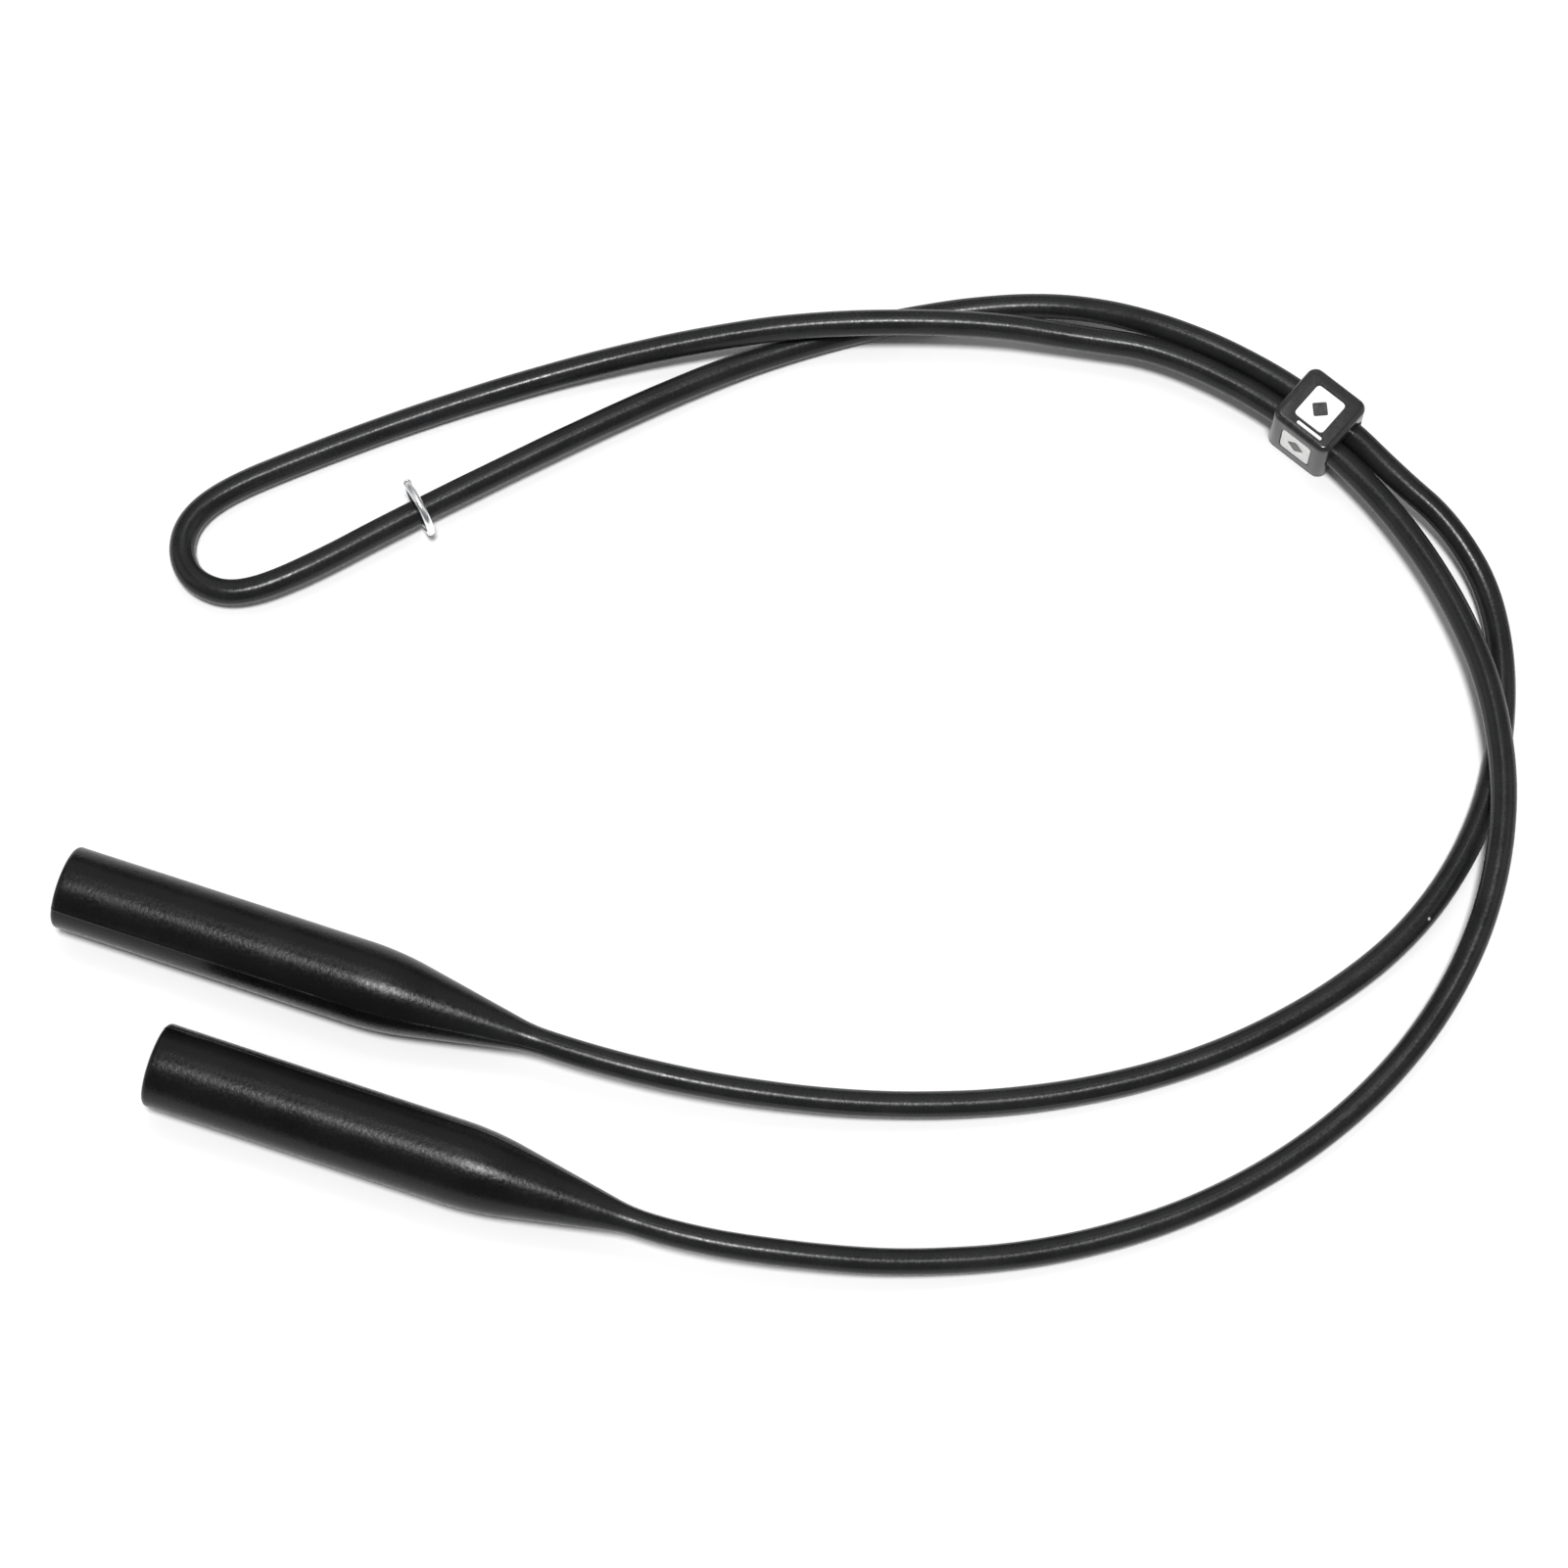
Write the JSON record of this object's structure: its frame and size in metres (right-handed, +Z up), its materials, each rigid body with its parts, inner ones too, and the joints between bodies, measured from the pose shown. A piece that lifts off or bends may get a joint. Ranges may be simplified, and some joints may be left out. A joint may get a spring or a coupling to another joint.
{
  "type": "eyeglasses retainer strap",
  "caption": "Moulded silicone eyeglasses strap: a round cord doubled through a cube slider bead, with hollow tapered sleeves that push over the spectacle temples and a metal ring on the cord.",
  "frame": {"origin": "on the surface that the strap lies on, below the middle of the box round the sleeves, the bead and the ring", "axes": "+X away from the sleeve mouths towards the big bend of the cord, +Y from the sleeves towards the end loop, +Z up from the surface"},
  "size_m": [0.1212, 0.0861, 0.007],
  "materials": {
    "cord_silicone": "satin moulded silicone",
    "sleeve_silicone": "matte moulded silicone",
    "bead_plastic": "satin moulded plastic",
    "white_inlay": "smooth white filling",
    "ring_metal": "bright plated wire"
  },
  "bodies": {
    "strap": {"cord": "cord_silicone", "temple_sleeve_upper": "sleeve_silicone", "temple_sleeve_lower": "sleeve_silicone"},
    "bead": {"slider_bead": "bead_plastic", "bead_mark_top": "white_inlay", "bead_mark_front": "white_inlay", "bead_mark_back": "white_inlay", "bead_mark_bottom": "white_inlay", "bead_line_top": "white_inlay"},
    "ring": {"stopper_ring": "ring_metal"}
  },
  "joints": [
    {"name": "bead_slide", "type": "hinge", "parent": "strap", "child": "bead", "pos_m": [0.0229, 0.0008, 0.00298], "axis": [0, 0, 1], "range_deg": [-6, 13]},
    {"name": "ring_slide", "type": "slide", "parent": "strap", "child": "ring", "axis": [0.8796, 0.4756, 0], "range_m": [-0.007, 0.014]}
  ]
}
